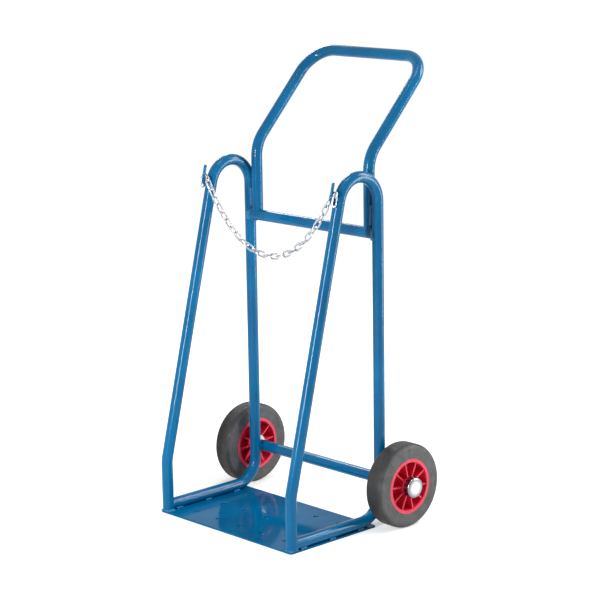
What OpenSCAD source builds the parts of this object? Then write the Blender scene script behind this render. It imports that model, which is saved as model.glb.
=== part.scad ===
// Gas cylinder trolley: bent tube frame on a drilled base plate, two rubber wheels and a retaining chain.
// Millimetres. X runs across the trolley, the front faces -Y and Z is up.
// The origin is on the floor, under the middle of the trolley's overall length and width.

/* [Side frames] */
// Outside diameter of the frame tube
tube_d = 26.9; // [22:0.1:30]
// Wall of the frame tube
tube_wall = 2.6; // [1.5:0.1:4]
// Distance between the centre lines of the two side frames
frame_width = 432; // [360:1:520]
// Distance from the front post to the rear upright, centre to centre
frame_depth = 285; // [250:1:340]
// Height of the top of the side frames above the floor
frame_height = 841.5; // [780:0.5:900]
// Height at which the front leg starts to lean back
kink_height = 128; // [100:1:180]
// Bend radius at that kink
kink_radius = 70; // [50:1:120]
// Radius of the bend that joins the leg to the upright at the top
top_bend_radius = 61.75; // [50:0.25:75]
// Radius of the bend from the upright into the bottom rail
bottom_bend_radius = 62; // [50:1:80]

/* [Base plate] */
// Depth of the base plate, front to back
plate_depth = 273; // [240:1:300]
// Thickness of the base plate
plate_thickness = 4; // [3:0.5:6]
// How far the plate edge stands in from the outside of the frame tubes
plate_side_inset = 1; // [0:0.5:6]
// Radius of the plate corners
plate_corner_radius = 6; // [2:0.5:12]
// Diameter of the drain holes in the plate
plate_hole_d = 13; // [8:0.5:20]
// Distance between the drain holes across the plate
plate_hole_pitch_x = 78; // [60:1:84]
// Distance between the drain hole rows, front to back
plate_hole_pitch_y = 86; // [60:1:90]

/* [Handle and cross tubes] */
// Height of the upper cross bar above the floor, at its centre
cross_bar_height = 690; // [600:1:720]
// Height at which the handle legs would turn back if the bend were sharp
handle_bend_height = 863; // [840:1:900]
// Radius of that bend
handle_bend_radius = 80; // [50:1:90]
// Lean of the upper handle, from upright
handle_lean = 43; // [30:0.5:55]
// Height of the handle grip bar above the floor, at its centre
handle_height = 1075; // [1020:1:1150]
// Radius of the two corners of the handle
handle_corner_radius = 70; // [45:1:100]

/* [Wheels] */
// Diameter of the tyre
wheel_d = 200; // [180:1:220]
// Width of the tyre
wheel_width = 50; // [44:1:56]
// Radius of the tyre shoulders
tyre_shoulder = 11; // [6:0.5:14]
// Radius on which the tyre sits
tyre_seat_r = 60; // [56:0.5:62]
// Outer radius of the rim flanges that hold the tyre
rim_flange_r = 65; // [63:0.5:68]
// Thickness of those flanges
rim_flange_t = 3; // [2:0.5:5]
// Inner radius of the rim at the face of the wheel
rim_mouth_r = 57.5; // [52:0.5:58]
// Taper of the rim and the hub towards the web
mould_taper = 2.5; // [1:0.5:4]
// Thickness of the web in the middle of the wheel
web_thickness = 6; // [4:0.5:10]
// Number of ribs on each face of the wheel centre
rib_count = 10; // [6:1:12]
// Thickness of a rib
rib_thickness = 3; // [2:0.5:5]
// How far the ribs stay below the face of the rim
rib_recess = 2; // [1:0.5:10]
// Turn of the first rib from the lowest point of the wheel
rib_phase = 12; // [0:1:36]
// Outer diameter of the moulded hub
hub_d = 43; // [38:0.5:46]
// Length of the hub
hub_length = 52; // [48:0.5:60]
// Gap between a side frame tube and the wheel beside it
wheel_clearance = 8.5; // [4:0.5:20]

/* [Axle] */
// Diameter of the solid axle
axle_d = 20; // [16:0.5:21]
// Outside diameter of the tube that carries the axle
axle_tube_d = 26.9; // [25:0.1:34]
// Wall of the steel bush in each hub
bush_wall = 3; // [2:0.5:5]
// Diameter of the washers between hub and axle tube, and under the caps
washer_d = 44; // [36:0.5:45]
// Thickness of those washers
washer_t = 2.5; // [1.5:0.5:4]
// Diameter of the bright hub caps
cap_d = 48; // [46.5:0.5:54]
// How far the hub caps stand out past the hub
cap_length = 18; // [14:0.5:24]
// Wall of the hub caps
cap_wall = 1.2; // [0.8:0.1:1.5]
// Radius of the edge of a hub cap
cap_edge = 4; // [2:0.5:6]

/* [Chain and hooks] */
// Diameter of the chain wire
wire_d = 4; // [3:0.5:4.5]
// Length of the window in a link
link_window = 22; // [20:0.5:26]
// Width of the window in a link
link_gap = 8; // [7:0.5:10]
// Number of links between the two hooks, an odd number
link_count = 25; // [21:2:27]
// Diameter of the rod that a chain hook is bent from
hook_rod_d = 7; // [5:0.5:8]
// Gap between a hook prong and the leg behind it
hook_slot = 10.5; // [9:0.5:12]
// Bend radius of a hook
hook_bend_radius = 9; // [7:0.5:12]
// Length of a hook prong above the foot of the hook
hook_prong = 45; // [36:1:55]
// Distance of the foot of a hook below the start of the top bend
hook_drop = 8; // [4:1:20]
// Tilt of the link that lies in a hook
seat_link_tilt = 35; // [25:1:42]

/* [Welds and clearances] */
// Leg length of a weld fillet
weld_leg = 4; // [2.5:0.5:5]
// Length of a stitch weld between rail and plate
stitch_length = 20; // [12:1:30]
// Distance between the stitch welds
stitch_pitch = 92; // [60:1:92]
// Least gap from the outer stitches to the foot weld and to the bend of the rail
stitch_margin = 0.5; // [0.5:0.1:5]
// Length of the upright seam welds beside the handle legs
seam_length = 45; // [30:1:60]
// Gap left between pieces that are welded or pressed together
seam = 0.05; // [0.02:0.01:0.1]
// Running clearance on the radius between axle and bush
axle_fit = 0.06; // [0.03:0.01:0.1]
// Side play of a wheel between its washers, each side
side_play = 0.3; // [0.3:0.1:0.8]
// Clearance between chain links, and between a link and its hook
link_play = 0.3; // [0.2:0.05:0.5]
// Further slack of the chain in the links that lie in the hooks
chain_slack = 0.6; // [0.4:0.1:0.8]

/* [Hidden] */
$fn = 64;

tube_r = tube_d / 2;
axle_tube_r = axle_tube_d / 2;
side_x = frame_width / 2;
rail_z = plate_thickness + seam + tube_r;
handle_run = round(100 * (handle_height - handle_bend_height) / cos(handle_lean)) / 100;
post_y = -round(50 * (frame_depth + handle_run * sin(handle_lean))) / 100;
plate_y = post_y - tube_r + plate_depth / 2;
upright_y = post_y + frame_depth;
plate_width = frame_width + tube_d - 2 * plate_side_inset;

// The leg is the line from the kink that touches the circle of the top bend.
top_c = [upright_y - top_bend_radius, frame_height - tube_r - top_bend_radius];
to_top = top_c - [post_y, kink_height];
lean = round(100 * (atan2(to_top.x, to_top.y) - asin(top_bend_radius / norm(to_top)))) / 100;
leg_out = [-cos(lean), sin(lean)];
leg_up = [sin(lean), cos(lean)];
leg_end = top_c + top_bend_radius * leg_out;
leg_length = (leg_end.x - post_y - kink_radius * (1 - cos(lean))) / sin(lean);
post_top = leg_end.y - leg_length * cos(lean) - kink_radius * sin(lean);
upright_length = top_c.y - rail_z - bottom_bend_radius;
tube_bore = tube_d - 2 * tube_wall;

// Past a bend the tube is drawn thinner by a hair.
drawn_d = tube_d - 0.04;
drawn_bore = tube_bore + 0.04;

// The stitches fill the straight part of the rail, as many as its length takes.
stitch_from = post_y + tube_r + weld_leg;
stitch_to = upright_y - bottom_bend_radius;
stitch_y = (stitch_from + stitch_to) / 2;
stitch_steps = floor((stitch_to - stitch_from - stitch_length - 2 * stitch_margin) / stitch_pitch);

handle_x = side_x - tube_d - seam;
handle_setback = round(100 * handle_bend_radius * tan(handle_lean / 2)) / 100;

wheel_x = side_x + tube_r + wheel_clearance + wheel_width / 2;
wheel_r = wheel_d / 2;
axle_y = upright_y + tube_r + axle_tube_r + seam;
axle_z = wheel_r;
hub_r = hub_d / 2;
bush_r = axle_d / 2 + axle_fit + bush_wall;
hub_inner_x = wheel_x - hub_length / 2;
hub_outer_x = wheel_x + hub_length / 2;
axle_tube_end = hub_inner_x - side_play - washer_t;
cap_face_x = hub_outer_x + cap_length;
cap_seat_x = hub_outer_x + side_play + washer_t;
axle_end = cap_face_x - cap_wall - seam;

// Pitch of the hanging links, and the half width of a link at its wire centres.
pitch = link_window - link_play;
link_r = (link_gap + wire_d) / 2;

// A hook is drawn from the start of the top bend: out of the leg, then along it.
rod_r = hook_rod_d / 2;
prong_out = tube_r + hook_slot + rod_r;
seat_out = prong_out - rod_r - link_play - wire_d / 2;
seat_up = hook_bend_radius - hook_drop;

// The loose end link hangs beside the hook and lies against the leg.
bow = link_gap / 2 - wire_d / 2 - link_play;
end_reach = pow(tube_r + wire_d / 2 + link_play, 2) - pow(seat_out - link_r, 2);
end_side = max(rod_r + wire_d / 2 + link_play, sqrt(max(0, end_reach)));

// The weld of a hook stops short of that link.
hook_weld_side = end_side - wire_d / 2 - weld_leg / 2;

// The link in the hook rests on the rod, parallel to the leg, and tilts so that its outer end is higher.
seat_side = end_side - (link_window - link_gap) / 2 * cos(seat_link_tilt) - bow * sin(seat_link_tilt);
seat_mid = seat_up + seat_side * tan(seat_link_tilt) + link_r / cos(seat_link_tilt);
end_top = seat_mid + (link_window - link_gap) / 2 * sin(seat_link_tilt) - bow * cos(seat_link_tilt);
end_mid = end_top - wire_d / 2 - link_window / 2;

// The chain hangs in an upright plane and pulls in the inner bows of those links.
seat_half = (link_window - link_gap) / 2;
seat_bow = leg_end + (seat_mid - seat_half * sin(seat_link_tilt)) * leg_up + seat_out * leg_out;
seat_bow_x = side_x + seat_side - seat_half * cos(seat_link_tilt);
chain_y = seat_bow.x;
chain_lead = bow - chain_slack + (wire_d + link_play) / 2;

// Equal links hang so that the slope rises by the same step from each link to the next.
half_count = (link_count - 1) / 2;
function slope(i, step) = atan(step * (i - half_count));
function run_x(n, step) = n == 0 ? 0 : run_x(n - 1, step) + pitch * cos(slope(n - 1, step));
function run_z(n, step) = n == 0 ? 0 : run_z(n - 1, step) + pitch * sin(slope(n - 1, step));
function span(step) = run_x(link_count, step) + 2 * chain_lead * cos(slope(0, step));
function hang_step(low, high, turns) =
    turns == 0 ? (low + high) / 2 :
    span((low + high) / 2) > 2 * seat_bow_x ? hang_step((low + high) / 2, high, turns - 1) :
    hang_step(low, (low + high) / 2, turns - 1);
hang = hang_step(0.005, 1, 40);
chain_end_x = seat_bow_x - chain_lead * cos(slope(0, hang));
chain_end_z = seat_bow.y + chain_lead * sin(slope(0, hang));

// Drawing aids

// Turns a drawing made in Y and Z into the plane of one side frame.
module side_plane(x) {
    translate([x, 0, 0]) rotate([90, 0, 90]) children();
}

// Places a drawing at the start of the top bend of a leg: X along the leg upwards, Y out to the front.
module leg_frame(x) {
    side_plane(x) translate([leg_end.x, leg_end.y, 0]) rotate([0, 0, 90 - lean]) children();
}

// Length of pipe or rod along Y, and a bend in X and Y about the origin.
module run(length, d, bore = 0) {
    rotate([-90, 0, 0]) difference() {
        cylinder(d = d, h = length);
        if (bore > 0) translate([0, 0, -1]) cylinder(d = bore, h = length + 2);
    }
}

module bend(r, from, angle, d, bore = 0) {
    rotate([0, 0, from]) rotate_extrude(angle = angle) translate([r, 0]) difference() {
        circle(d = d);
        if (bore > 0) circle(d = bore);
    }
}

// A bend of any angle that starts along Y and carries on with what follows it.
module turn(r, angle, d, bore = 0) {
    difference() {
        bend(r, 0, angle + 12, d, bore);
        rotate([0, 0, angle]) translate([r - d, 0, -d]) cube(2 * d);
    }
    rotate([0, 0, angle]) translate([r, 0, 0]) children();
}

module across(x1, x2, y, z, d, bore = 0) {
    translate([x1, y, z]) rotate([0, 90, 0]) difference() {
        cylinder(d = d, h = x2 - x1);
        if (bore > 0) translate([0, 0, -1]) cylinder(d = bore, h = x2 - x1 + 2);
    }
}

// Solid forms of the tubes, used to shape what is welded to them.
module upright_solid(x, grow) {
    translate([x, upright_y, rail_z + bottom_bend_radius]) cylinder(r = tube_r + grow, h = upright_length);
}

module post_solid(x, grow) {
    translate([x, post_y, -1]) cylinder(r = tube_r + grow, h = post_top + 1);
}

module rail_solid(x, grow) {
    translate([x, post_y, rail_z]) run(frame_depth - bottom_bend_radius, tube_d + 2 * grow);
}

module leg_solid(x, grow) {
    leg_frame(x) rotate([0, 0, 90]) run(leg_length, tube_d + 2 * grow);
}

module handle_leg_solid(s, grow) {
    translate([s * handle_x, upright_y, cross_bar_height])
        cylinder(r = tube_r + grow, h = handle_bend_height - cross_bar_height - handle_setback);
}

module handle_bend_solid(s, grow) {
    translate([s * handle_x, upright_y + handle_bend_radius, handle_bend_height - handle_setback])
        rotate([90, 0, -90]) turn(handle_bend_radius, handle_lean, tube_d + 2 * grow);
}

module cross_bar_solid(grow) {
    across(-side_x, side_x, upright_y, cross_bar_height, tube_d + 2 * grow);
}

module axle_tube_solid(grow) {
    across(-axle_tube_end, axle_tube_end, axle_y, axle_z, axle_tube_d + 2 * grow);
}

// Round bead with domed ends along Y.
module bead_y(length, r) {
    rotate([90, 0, 0]) cylinder(r = r, h = length, center = true);
    for (s = [-1, 1]) translate([0, s * length / 2, 0]) sphere(r = r);
}

// Frame

module base_plate() {
    r = plate_corner_radius;
    color("steelblue") translate([0, plate_y, 0]) difference() {
        union() {
            translate([-plate_width / 2 + r, -plate_depth / 2, 0])
                cube([plate_width - 2 * r, plate_depth, plate_thickness]);
            translate([-plate_width / 2, -plate_depth / 2 + r, 0])
                cube([plate_width, plate_depth - 2 * r, plate_thickness]);
            for (sx = [-1, 1], sy = [-1, 1])
                translate([sx * (plate_width / 2 - r), sy * (plate_depth / 2 - r), 0])
                    cylinder(r = r, h = plate_thickness);
        }
        for (i = [-2:2], j = [-1:1])
            translate([i * plate_hole_pitch_x, j * plate_hole_pitch_y, -1])
                cylinder(d = plate_hole_d, h = plate_thickness + 2);
    }
}

// One bent tube: post, kink, leaning leg, top bend, upright, bottom bend and rail.
module side_frame(x) {
    r = top_bend_radius;
    color("steelblue") side_plane(x) translate([top_c.x, top_c.y, 0]) union() {
        translate([r, -upright_length, 0]) run(upright_length, tube_d, tube_bore);
        translate([r - bottom_bend_radius, -upright_length, 0]) {
            bend(bottom_bend_radius, 270, 90, tube_d, tube_bore);
            translate([0, -bottom_bend_radius, 0]) rotate([0, 0, 90]) difference() {
                run(frame_depth - bottom_bend_radius, tube_d, tube_bore);
                translate([-tube_d, frame_depth - bottom_bend_radius, 0]) rotate([0, 90, 0])
                    cylinder(r = tube_r - tube_wall / 2, h = 2 * tube_d);
            }
        }
        turn(r, 180 - lean, tube_d, tube_bore) {
            run(leg_length, drawn_d, drawn_bore);
            translate([-kink_radius, leg_length, 0]) turn(kink_radius, lean, drawn_d, drawn_bore)
                run(post_top - plate_thickness - seam, tube_d, tube_bore);
        }
    }
}

module left_side_frame() {
    side_frame(-side_x);
}

module right_side_frame() {
    side_frame(side_x);
}

module upper_cross_bar() {
    color("steelblue") difference() {
        across(-side_x, side_x, upright_y, cross_bar_height, tube_d, tube_d - 2 * tube_wall);
        for (s = [-1, 1]) upright_solid(s * side_x, seam);
    }
}

module axle_tube() {
    color("steelblue") across(-axle_tube_end, axle_tube_end, axle_y, axle_z, axle_tube_d, axle_d + 2 * seam);
}

// Handle hoop, drawn from the grip bar down: corners, leaning sides, bends and legs that stand on the cross bar.
module handle_tube() {
    corner = handle_corner_radius;
    grip = handle_x - corner;
    bend_z = handle_bend_height - handle_setback;
    color("steelblue") difference() {
        translate([0, upright_y, handle_bend_height]) rotate([90 - handle_lean, 0, 0]) union() {
            translate([-grip, handle_run, 0]) rotate([0, 0, -90]) run(2 * grip, tube_d, tube_bore);
            for (s = [-1, 1]) {
                translate([s * grip, handle_run - corner, 0]) bend(corner, 45 - s * 45, 90, tube_d, tube_bore);
                translate([s * handle_x, handle_setback, 0]) {
                    run(handle_run - handle_setback - corner, tube_d, tube_bore);
                    rotate([180, -90, 0]) translate([-handle_bend_radius, 0, 0])
                        turn(handle_bend_radius, handle_lean, tube_d, tube_bore)
                            run(bend_z - cross_bar_height, drawn_d, drawn_bore);
                }
            }
        }
        cross_bar_solid(seam);
    }
}

// Hooks

// Rod bent to a J: out of the front of the leg, then up along it, with a slot for a link edge on.
module chain_hook(x) {
    r = hook_bend_radius;
    color("steelblue") difference() {
        leg_frame(x) translate([-hook_drop, 0, 0]) {
            run(prong_out - r, hook_rod_d);
            translate([r, prong_out - r, 0]) bend(r, 90, 90, hook_rod_d);
            translate([r, prong_out, 0]) rotate([0, 0, -90]) run(hook_prong - r, hook_rod_d);
        }
        leg_solid(x, seam);
    }
}

module left_chain_hook() {
    chain_hook(-side_x);
}

module right_chain_hook() {
    chain_hook(side_x);
}

// Welds

// Short beads in the grooves between the rails and the plate.
module rail_welds() {
    groove_x = tube_r * 0.74;
    bead_r = weld_leg * 0.65;
    color("lightsteelblue") for (s = [-1, 1], side = [-1, 1], j = [0:stitch_steps]) difference() {
        translate([s * side_x + side * groove_x, stitch_y + (j - stitch_steps / 2) * stitch_pitch,
                   plate_thickness + weld_leg / 2])
            bead_y(stitch_length - 2 * bead_r, bead_r);
        rail_solid(s * side_x, seam);
        translate([-plate_width, plate_y - plate_depth, -1])
            cube([2 * plate_width, 2 * plate_depth, plate_thickness + seam + 1]);
    }
}

module foot_welds() {
    color("lightsteelblue") for (s = [-1, 1]) intersection() {
        difference() {
            translate([s * side_x, post_y, plate_thickness + seam])
                cylinder(r1 = tube_r + weld_leg, r2 = tube_r, h = weld_leg);
            post_solid(s * side_x, seam);
            rail_solid(s * side_x, seam);
        }
        translate([-plate_width / 2, plate_y - plate_depth / 2, 0])
            cube([plate_width, plate_depth, plate_thickness + tube_d]);
    }
}

// A weld fills the corner within one leg length of both tubes.
module cross_bar_welds() {
    color("lightsteelblue") for (s = [-1, 1]) difference() {
        intersection() {
            upright_solid(s * side_x, weld_leg);
            cross_bar_solid(weld_leg);
        }
        upright_solid(s * side_x, seam);
        cross_bar_solid(seam);
        handle_leg_solid(s, seam);
    }
}

module handle_welds() {
    groove = tube_r * 0.62;
    color("lightsteelblue") for (s = [-1, 1], side = [-1, 1]) difference() {
        translate([s * (side_x - tube_r), upright_y + side * groove, cross_bar_height + tube_r + 2 * weld_leg])
            cylinder(r = weld_leg, h = seam_length);
        upright_solid(s * side_x, seam);
        handle_leg_solid(s, seam);
        handle_bend_solid(s, seam);
    }
}

module axle_tube_welds() {
    color("lightsteelblue") for (s = [-1, 1]) difference() {
        intersection() {
            upright_solid(s * side_x, weld_leg);
            axle_tube_solid(weld_leg);
        }
        upright_solid(s * side_x, seam);
        axle_tube_solid(seam);
    }
}

module hook_welds() {
    color("lightsteelblue") for (s = [-1, 1]) difference() {
        intersection() {
            leg_solid(s * side_x, weld_leg / 2);
            leg_frame(s * side_x) translate([-hook_drop, 0, 0]) run(prong_out, hook_rod_d + weld_leg);
        }
        leg_solid(s * side_x, seam);
        leg_frame(s * side_x) translate([-hook_drop, 0, 0]) {
            run(prong_out, hook_rod_d + 2 * seam);
            translate([0, prong_out / 2, s * (hook_weld_side + prong_out / 2)]) cube(prong_out, center = true);
        }
    }
}

// Axle and wheels

module wheel_axle() {
    color("silver") across(-axle_end, axle_end, axle_y, axle_z, axle_d);
}

module washer(x) {
    across(x, x + washer_t, axle_y, axle_z, washer_d, axle_d + 2 * seam);
}

module inner_washers() {
    color("silver") for (s = [-1, 1]) washer(s * (axle_tube_end + washer_t / 2) - washer_t / 2);
}

module outer_washers() {
    color("silver") for (s = [-1, 1]) washer(s * (cap_seat_x - washer_t / 2) - washer_t / 2);
}

// The cap is a drawn cup with a collar inside that grips the end of the axle.
module hub_cap() {
    depth = cap_face_x - hub_outer_x - side_play;
    collar_r = axle_d / 2 + seam;
    rotate_extrude() {
        difference() {
            union() {
                square([cap_d / 2, depth - cap_edge]);
                square([cap_d / 2 - cap_edge, depth]);
                translate([cap_d / 2 - cap_edge, depth - cap_edge]) circle(r = cap_edge);
            }
            translate([-1, -1]) square([cap_d / 2 - cap_wall + 1, depth - cap_edge + 1]);
            translate([-1, -1]) square([cap_d / 2 - cap_edge + 1, depth - cap_wall + 1]);
            translate([cap_d / 2 - cap_edge, depth - cap_edge]) circle(r = cap_edge - cap_wall);
        }
        translate([collar_r, washer_t]) square([cap_wall, depth - washer_t - cap_wall / 2]);
    }
}

module left_hub_cap() {
    color("gainsboro") translate([-hub_outer_x - side_play, axle_y, axle_z]) rotate([0, -90, 0]) hub_cap();
}

module right_hub_cap() {
    color("gainsboro") translate([hub_outer_x + side_play, axle_y, axle_z]) rotate([0, 90, 0]) hub_cap();
}

module hub_bush(x) {
    color("silver")
        across(x - hub_length / 2, x + hub_length / 2, axle_y, axle_z, 2 * bush_r, axle_d + 2 * axle_fit);
}

module left_hub_bush() {
    hub_bush(-wheel_x);
}

module right_hub_bush() {
    hub_bush(wheel_x);
}

// Moulded centre with tapered pockets between the ribs on both faces.
module wheel_centre() {
    half = wheel_width / 2;
    web = web_thickness / 2;
    color("crimson") union() {
        rotate_extrude() polygon([
            [bush_r + seam, -hub_length / 2],
            [hub_r, -hub_length / 2],
            [hub_r + mould_taper, -web],
            [rim_mouth_r - mould_taper, -web],
            [rim_mouth_r, -half],
            [rim_flange_r, -half],
            [rim_flange_r, rim_flange_t - half],
            [tyre_seat_r, rim_flange_t - half],
            [tyre_seat_r, half - rim_flange_t],
            [rim_flange_r, half - rim_flange_t],
            [rim_flange_r, half],
            [rim_mouth_r, half],
            [rim_mouth_r - mould_taper, web],
            [hub_r + mould_taper, web],
            [hub_r, hub_length / 2],
            [bush_r + seam, hub_length / 2]
        ]);
        for (i = [0:rib_count - 1]) rotate([0, 0, rib_phase + i * 360 / rib_count])
            translate([hub_r - 1, -rib_thickness / 2, rib_recess - half])
                cube([tyre_seat_r - 2 - hub_r, rib_thickness, wheel_width - 2 * rib_recess]);
    }
}

module left_wheel_centre() {
    translate([-wheel_x, axle_y, axle_z]) rotate([0, -90, 0]) wheel_centre();
}

module right_wheel_centre() {
    translate([wheel_x, axle_y, axle_z]) rotate([0, 90, 0]) wheel_centre();
}

// Solid rubber tyre with round shoulders, moulded over the rim flanges.
module tyre() {
    half = wheel_width / 2;
    color("dimgray") rotate_extrude() difference() {
        union() {
            translate([tyre_seat_r + seam, -half])
                square([wheel_r - tyre_shoulder - tyre_seat_r - seam, wheel_width]);
            translate([tyre_seat_r + seam, tyre_shoulder - half])
                square([wheel_r - tyre_seat_r - seam, wheel_width - 2 * tyre_shoulder]);
            for (s = [-1, 1])
                translate([wheel_r - tyre_shoulder, s * (half - tyre_shoulder)]) circle(r = tyre_shoulder);
        }
        for (s = [-1, 1]) translate([0, s * (half - rim_flange_t / 2 + 1)])
            square([2 * (rim_flange_r + seam), rim_flange_t + 2 + 2 * seam], center = true);
    }
}

module left_tyre() {
    translate([-wheel_x, axle_y, axle_z]) rotate([0, -90, 0]) tyre();
}

module right_tyre() {
    translate([wheel_x, axle_y, axle_z]) rotate([0, 90, 0]) tyre();
}

// Chain

// One welded link, lying in X and Y with its length along X.
module link() {
    half = link_window / 2 + wire_d / 2 - link_r;
    for (s = [-1, 1]) {
        translate([s * half, 0, 0]) rotate([0, 0, s * 90 - 180]) rotate_extrude(angle = 180)
            translate([link_r, 0]) circle(d = wire_d, $fn = 32);
        translate([-half, s * link_r, 0]) rotate([0, 90, 0]) cylinder(d = wire_d, h = 2 * half, $fn = 32);
    }
}

// A link that lies in a hook stands on edge in the slot.
module seat_link(s) {
    color("gainsboro") leg_frame(s * side_x) translate([seat_mid, seat_out, s * seat_side])
        rotate([0, s * (seat_link_tilt - 90), 0]) rotate([90, 0, 0]) link();
}

module left_seat_link() {
    seat_link(-1);
}

module right_seat_link() {
    seat_link(1);
}

// The loose link at the end of the chain hangs outside the prong and cannot pass the slot.
module end_link(s) {
    color("gainsboro") leg_frame(s * side_x) translate([end_mid, seat_out, s * end_side]) link();
}

module left_end_link() {
    end_link(-1);
}

module right_end_link() {
    end_link(1);
}

// The links hang from hook to hook, each turned a quarter from the last.
module chain_run() {
    color("gainsboro") for (i = [0:link_count - 1]) {
        a = slope(i, hang);
        mid_x = -chain_end_x + run_x(i, hang) + pitch / 2 * cos(a);
        mid_z = chain_end_z + run_z(i, hang) + pitch / 2 * sin(a);
        translate([mid_x, chain_y, mid_z]) rotate([0, -a, 0]) rotate([i % 2 == 0 ? 0 : 90, 0, 0]) link();
    }
}

base_plate();
left_side_frame();
right_side_frame();
upper_cross_bar();
axle_tube();
handle_tube();
left_chain_hook();
right_chain_hook();
rail_welds();
foot_welds();
cross_bar_welds();
handle_welds();
axle_tube_welds();
hook_welds();
wheel_axle();
inner_washers();
outer_washers();
left_hub_cap();
right_hub_cap();
left_hub_bush();
right_hub_bush();
left_wheel_centre();
right_wheel_centre();
left_tyre();
right_tyre();
left_seat_link();
right_seat_link();
left_end_link();
right_end_link();
chain_run();
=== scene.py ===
import math

import bpy
from mathutils import Matrix, Vector

# Gas cylinder trolley: enamelled tube frame, zinc chain, red wheel centres and grey rubber tyres.
# Every piece is a node of the CAD model. This script gives the nodes their materials, and adds the
# photograph's camera, the lamps, the floor and the background.

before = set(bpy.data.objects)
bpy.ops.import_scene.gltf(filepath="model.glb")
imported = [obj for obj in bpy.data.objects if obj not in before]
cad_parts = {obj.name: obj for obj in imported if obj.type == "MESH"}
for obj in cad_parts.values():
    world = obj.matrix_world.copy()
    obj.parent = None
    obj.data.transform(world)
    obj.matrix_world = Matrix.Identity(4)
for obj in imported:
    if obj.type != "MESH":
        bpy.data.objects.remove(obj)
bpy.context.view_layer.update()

# Line of the wheel axle, in metres
AXLE_Y = 0.0706
AXLE_Z = 0.1

# Green and blue of the enamel where its film is thin, even and thick
ENAMEL_TONES = ((0.086, 0.208), (0.110, 0.258), (0.134, 0.304))

# Camera fitted to the photograph: degrees, metres, and pixels of the photograph
CAMERA_YAW = 45.995
CAMERA_PITCH = 12.671
CAMERA_ROLL = 0.777
CAMERA_PLACE = (3.34553, -3.15467, 1.48950)
PHOTO_SIDE = 600.0
FOCAL_LENGTH = 1995.243
OPTICAL_CENTRE = (323.535, 323.296)
# Width of the sensor, in millimetres
SENSOR_WIDTH = 36.0

# Lamps: name, place, aim, width and height in metres, and power in watts
LAMPS = (
    ("left_softbox", (0.45, -2.50, 1.00), (0.1, 0.0, 0.50), (0.17, 0.9), 68.0),
    ("right_softbox", (1.75, 1.65, 0.56), (0.0, 0.0, 0.60), (0.5, 1.1), 30.0),
    ("back_softbox", (1.10, 1.70, 1.80), (0.0, 0.0, 0.30), (0.9, 1.2), 46.0),
    ("far_softbox", (-1.80, 0.90, 2.00), (0.0, 0.0, 0.60), (0.8, 0.40), 16.0),
    ("top_softbox", (0.30, -0.20, 3.10), (0.0, 0.0, 0.40), (0.9, 0.9), 16.0),
)

WHITE = (1.0, 1.0, 1.0, 1.0)
# Strength of the background as a lamp, and where it is seen
SKY_LIGHT = 0.15
SKY_SEEN = 1.0

FLOOR_GREY = (0.80, 0.80, 0.80, 1.0)
FLOOR_SIDE = 60.0
# The floor lies this far below the plate and the tyres, in metres
FLOOR_DROP = 0.0004
# Glow of the floor where it is seen: near the trolley, and far enough away to be lost in the background
GLOW_NEAR = 0.42
GLOW_FAR = 0.90
GLOW_STARTS = 0.4
GLOW_ENDS = 2.0


# Shader helpers

def feed(tree, socket, value):
    """Links an input to another node's output, or sets it to a plain value."""
    if isinstance(value, bpy.types.NodeSocket):
        tree.links.new(value, socket)
    else:
        socket.default_value = value


def add_node(tree, kind, inputs=(), **props):
    """Adds a node, sets its properties and feeds its inputs by name or number."""
    node = tree.nodes.new(kind)
    for name, value in props.items():
        setattr(node, name, value)
    for key, value in dict(inputs).items():
        feed(tree, node.inputs[key], value)
    return node


def calculate(tree, operation, *values):
    return add_node(tree, "ShaderNodeMath", enumerate(values), operation=operation).outputs[0]


def map_range(tree, value, low, high, start=0.0, end=1.0):
    """Runs from low to high while the value runs from start to end."""
    inputs = {"Value": value, "From Min": start, "From Max": end, "To Min": low, "To Max": high}
    return add_node(tree, "ShaderNodeMapRange", inputs).outputs["Result"]


def seen(tree):
    """One for rays that show what they meet, directly or in a reflection, and nought for those that only light."""
    path = add_node(tree, "ShaderNodeLightPath").outputs
    mirrored = calculate(tree, "MAXIMUM", path["Is Camera Ray"], path["Is Glossy Ray"])
    return calculate(tree, "MAXIMUM", mirrored, path["Is Transmission Ray"])


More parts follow.
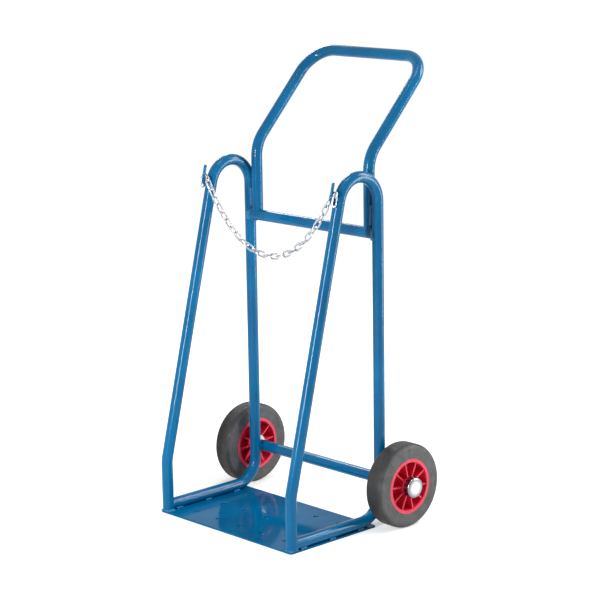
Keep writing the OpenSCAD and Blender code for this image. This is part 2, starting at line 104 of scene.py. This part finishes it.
class Finish:
    """A material with a Principled shader, fed by patterns in the object's own coordinates."""

    def __init__(self, name):
        self.material = bpy.data.materials.new(name)
        self.material.use_nodes = True
        self.tree = self.material.node_tree
        self.shader = self.tree.nodes["Principled BSDF"]
        self.coords = add_node(self.tree, "ShaderNodeTexCoord").outputs

    def calc(self, operation, *values):
        return calculate(self.tree, operation, *values)

    def noise(self, scale, detail, rough=0.5, stretch=None):
        place = self.coords["Object"]
        if stretch is not None:
            place = add_node(self.tree, "ShaderNodeMapping", {"Vector": place, "Scale": stretch}).outputs["Vector"]
        inputs = {"Vector": place, "Scale": scale, "Detail": detail, "Roughness": rough}
        return add_node(self.tree, "ShaderNodeTexNoise", inputs).outputs["Fac"]

    def spread(self, value, low, high, start=0.3, end=0.7):
        """A range driven by a value. By default it starts and ends where most of a noise lies."""
        return map_range(self.tree, value, low, high, start, end)

    def ramp(self, value, *stops):
        """Colour between stops, each a position and a colour."""
        node = add_node(self.tree, "ShaderNodeValToRGB", {"Fac": value})
        elements = node.color_ramp.elements
        while len(elements) < len(stops):
            elements.new(0.5)
        for element, (position, colour) in zip(elements, stops):
            element.position = position
            element.color = (*colour, 1.0)
        return node.outputs["Color"]

    def along(self, axis, coords="Object"):
        return add_node(self.tree, "ShaderNodeSeparateXYZ", {0: self.coords[coords]}).outputs[axis]

    def axle_radius(self):
        """Distance from the line of the axle, in metres."""
        y = self.calc("SUBTRACT", self.along("Y"), AXLE_Y)
        z = self.calc("SUBTRACT", self.along("Z"), AXLE_Z)
        return self.calc("SQRT", self.calc("ADD", self.calc("MULTIPLY", y, y), self.calc("MULTIPLY", z, z)))

    def waves(self, value, rate):
        """Sine waves, with the rate in radians for each metre."""
        return self.calc("SINE", self.calc("MULTIPLY", value, rate))

    def bump(self, height, strength, distance, under=None):
        """A bumped normal, on top of another one if it is given."""
        inputs = {"Strength": strength, "Distance": distance, "Height": height}
        if under is not None:
            inputs["Normal"] = under
        return add_node(self.tree, "ShaderNodeBump", inputs).outputs["Normal"]

    def finish(self, **inputs):
        """Feeds the shader's inputs, with underscores for the spaces in their names."""
        for name, value in inputs.items():
            feed(self.tree, self.shader.inputs[name.replace("_", " ")], value)
        return self.material


# Finishes

def enamel(name, depth, gloss, smoothest, roughest):
    """Glossy blue stove enamel with a slight orange peel and an uneven film."""
    m = Finish(name)
    thin, even, thick = ((0.0, green * depth, blue * depth) for green, blue in ENAMEL_TONES)
    film = m.noise(scale=7.0, detail=4.0, rough=0.55)
    colour = m.ramp(film, (0.30, thin), (0.52, even), (0.75, thick))
    rough = m.spread(m.noise(scale=42.0, detail=3.0), low=smoothest, high=roughest)
    peel = m.bump(m.noise(scale=330.0, detail=2.0), strength=0.03, distance=0.0006)
    sag = m.noise(scale=24.0, detail=2.0, rough=0.4, stretch=(1.0, 1.0, 0.35))
    runs = m.bump(sag, strength=0.05, distance=0.004, under=peel)
    return m.finish(Base_Color=colour, Roughness=rough, Normal=runs, Specular_IOR_Level=gloss)


def weld():
    """Enamelled weld bead with ripples."""
    m = Finish("weld_enamel")
    spots = m.noise(scale=160.0, detail=3.0)
    colour = m.ramp(spots, (0.30, (0.000, 0.100, 0.245)), (0.70, (0.004, 0.160, 0.345)))
    rough = m.spread(m.noise(scale=220.0, detail=2.0), low=0.20, high=0.38)
    ripple = m.waves(m.calc("ADD", m.along("Y"), m.along("Z")), rate=2600.0)
    bead = m.bump(ripple, strength=0.35, distance=0.0006)
    lumps = m.bump(m.noise(scale=300.0, detail=2.0), strength=0.45, distance=0.0010, under=bead)
    return m.finish(Base_Color=colour, Roughness=rough, Normal=lumps, Specular_IOR_Level=0.3)


def zinc():
    """Bright zinc plate on wire and washers."""
    m = Finish("bright_zinc")
    spots = m.noise(scale=420.0, detail=3.0)
    colour = m.ramp(spots, (0.30, (0.36, 0.37, 0.39)), (0.70, (0.58, 0.59, 0.61)))
    rough = m.spread(m.noise(scale=260.0, detail=3.0), low=0.20, high=0.40)
    drawn = m.bump(m.noise(scale=900.0, detail=2.0), strength=0.12, distance=0.0003)
    return m.finish(Base_Color=colour, Roughness=rough, Normal=drawn, Metallic=1.0)


def steel():
    """Turned steel with fine tool lines."""
    m = Finish("axle_steel")
    spots = m.noise(scale=120.0, detail=3.0)
    colour = m.ramp(spots, (0.30, (0.42, 0.42, 0.44)), (0.70, (0.60, 0.60, 0.62)))
    rough = m.spread(m.noise(scale=300.0, detail=2.0), low=0.28, high=0.45)
    turns = m.noise(scale=60.0, detail=2.0, stretch=(60.0, 1.0, 1.0))
    lines = m.bump(turns, strength=0.15, distance=0.0003)
    return m.finish(Base_Color=colour, Roughness=rough, Normal=lines, Metallic=1.0)


def chrome():
    """Drawn bright cap with faint spinning rings, and painted shade that darkens it towards its rim."""
    m = Finish("cap_chrome")
    radius = m.axle_radius()
    # Painted shade: the cap's colour darkens towards its rim.
    painted_rim_shade = m.spread(radius, low=0.35, high=-0.15, start=0.012, end=0.022)
    # Random tone of the plating plus the painted rim shade
    tone_and_painted_light = m.calc("MULTIPLY_ADD", m.noise(scale=60.0, detail=3.0), 0.5, painted_rim_shade)
    colour = m.ramp(tone_and_painted_light, (0.20, (0.24, 0.25, 0.27)), (0.60, (0.62, 0.63, 0.65)))
    rough = m.spread(m.noise(scale=150.0, detail=3.0), low=0.14, high=0.28)
    rings = m.bump(m.waves(radius, rate=9000.0), strength=0.06, distance=0.0003)
    return m.finish(Base_Color=colour, Roughness=rough, Normal=rings, Metallic=1.0)


def red():
    """Moulded red plastic with flow marks and a fine grain."""
    m = Finish("red_moulding")
    flow = m.noise(scale=26.0, detail=4.0, rough=0.6)
    colour = m.ramp(flow, (0.30, (0.590, 0.012, 0.046)), (0.55, (0.685, 0.018, 0.064)),
                    (0.78, (0.765, 0.028, 0.084)))
    rough = m.spread(m.noise(scale=90.0, detail=3.0), low=0.26, high=0.42)
    grain = m.bump(m.noise(scale=1100.0, detail=2.0), strength=0.12, distance=0.0003)
    sink = m.bump(m.noise(scale=55.0, detail=1.0), strength=0.06, distance=0.0015, under=grain)
    return m.finish(Base_Color=colour, Roughness=rough, Normal=sink, Specular_IOR_Level=0.5)


def rubber():
    """Grey solid rubber with moulded rings on the walls and dust in the surface, and painted light that makes the
    walls paler than the tread.
    """
    m = Finish("grey_rubber")
    swell = m.calc("MULTIPLY_ADD", m.waves(m.axle_radius(), rate=1250.0), 0.5, 0.5)
    ring = m.calc("POWER", swell, 6.0)
    sideways = m.calc("ABSOLUTE", m.along("X", coords="Normal"))
    # Painted light: the walls, which face sideways, are made paler than the tread.
    painted_wall_light = m.spread(sideways, low=0.0, high=0.34, start=0.55, end=0.95)
    dust = m.calc("MULTIPLY", m.noise(scale=48.0, detail=5.0, rough=0.65), 0.62)
    # Colour from the moulded rings, the dust and the painted wall light
    tone_and_painted_light = m.calc("ADD", m.calc("MULTIPLY_ADD", ring, 0.10, painted_wall_light), dust)
    colour = m.ramp(tone_and_painted_light, (0.20, (0.010, 0.010, 0.011)), (0.45, (0.024, 0.024, 0.025)),
                    (0.80, (0.086, 0.086, 0.086)))
    rough = m.spread(m.noise(scale=80.0, detail=3.0), low=0.50, high=0.72)
    rings = m.bump(ring, strength=0.35, distance=0.0007)
    tread = m.bump(m.waves(m.along("X"), rate=2200.0), strength=0.06, distance=0.0004, under=rings)
    pores = m.bump(m.noise(scale=700.0, detail=3.0), strength=0.18, distance=0.0004, under=tread)
    return m.finish(Base_Color=colour, Roughness=rough, Normal=pores, Specular_IOR_Level=0.4)


# Materials on the nodes, by the ends of their names. All other nodes are painted tube and rod.

paint = enamel("blue_enamel", depth=0.99, gloss=0.17, smoothest=0.11, roughest=0.17)
finishes = (
    (("_welds",), weld()),
    (("base_plate",), enamel("plate_enamel", depth=0.98, gloss=0.04, smoothest=0.06, roughest=0.11)),
    (("_tyre",), rubber()),
    (("_wheel_centre",), red()),
    (("_hub_cap",), chrome()),
    (("_link", "_washers", "chain_run"), zinc()),
    (("_bush", "wheel_axle"), steel()),
)
for name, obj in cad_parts.items():
    material = next((made for ends, made in finishes if name.endswith(ends)), paint)
    obj.data.materials.clear()
    obj.data.materials.append(material)


# Camera, where the photograph was taken from

def add_camera():
    yaw, pitch, roll = (math.radians(angle) for angle in (CAMERA_YAW, CAMERA_PITCH, CAMERA_ROLL))
    forward = Vector((-math.sin(yaw) * math.cos(pitch), math.cos(yaw) * math.cos(pitch), -math.sin(pitch)))
    right = Vector((math.cos(yaw), math.sin(yaw), 0.0))
    down = forward.cross(right)
    across = math.cos(roll) * right + math.sin(roll) * down
    below = -math.sin(roll) * right + math.cos(roll) * down
    turn = Matrix((across, -below, -forward)).transposed().to_4x4()
    data = bpy.data.cameras.new("photo_camera")
    data.sensor_width = SENSOR_WIDTH
    data.lens = SENSOR_WIDTH * FOCAL_LENGTH / PHOTO_SIDE
    data.shift_x = -(OPTICAL_CENTRE[0] - PHOTO_SIDE / 2) / PHOTO_SIDE
    data.shift_y = (OPTICAL_CENTRE[1] - PHOTO_SIDE / 2) / PHOTO_SIDE
    camera = bpy.data.objects.new("photo_camera", data)
    camera.matrix_world = Matrix.Translation(CAMERA_PLACE) @ turn
    bpy.context.scene.collection.objects.link(camera)
    bpy.context.scene.camera = camera


add_camera()


# Lamps, background and floor

def add_lamp(name, place, aim, size, power):
    data = bpy.data.lights.new(name, "AREA")
    data.shape = "RECTANGLE"
    data.size, data.size_y = size
    data.energy = power
    lamp = bpy.data.objects.new(name, data)
    lamp.location = place
    lamp.rotation_euler = (Vector(aim) - Vector(place)).to_track_quat("-Z", "Y").to_euler()
    bpy.context.scene.collection.objects.link(lamp)


for lamp_values in LAMPS:
    add_lamp(*lamp_values)

world = bpy.data.worlds.new("studio")
bpy.context.scene.world = world
world.use_nodes = True
sky = world.node_tree
background = sky.nodes["Background"]
feed(sky, background.inputs["Color"], WHITE)
feed(sky, background.inputs["Strength"], map_range(sky, seen(sky), SKY_LIGHT, SKY_SEEN))

bpy.ops.mesh.primitive_plane_add(size=FLOOR_SIDE, location=(0.0, 0.0, -FLOOR_DROP))
floor = bpy.context.object
floor.name = "floor"
ground = Finish("pale_floor")
away = add_node(ground.tree, "ShaderNodeVectorMath", {0: ground.coords["Object"]}, operation="LENGTH")
glow = ground.spread(away.outputs["Value"], GLOW_NEAR, GLOW_FAR, GLOW_STARTS, GLOW_ENDS)
floor.data.materials.append(ground.finish(
    Base_Color=FLOOR_GREY, Roughness=0.9, Specular_IOR_Level=0.0,
    Emission_Color=WHITE, Emission_Strength=ground.calc("MULTIPLY", seen(ground.tree), glow)))

bpy.context.scene.view_settings.view_transform = "Standard"
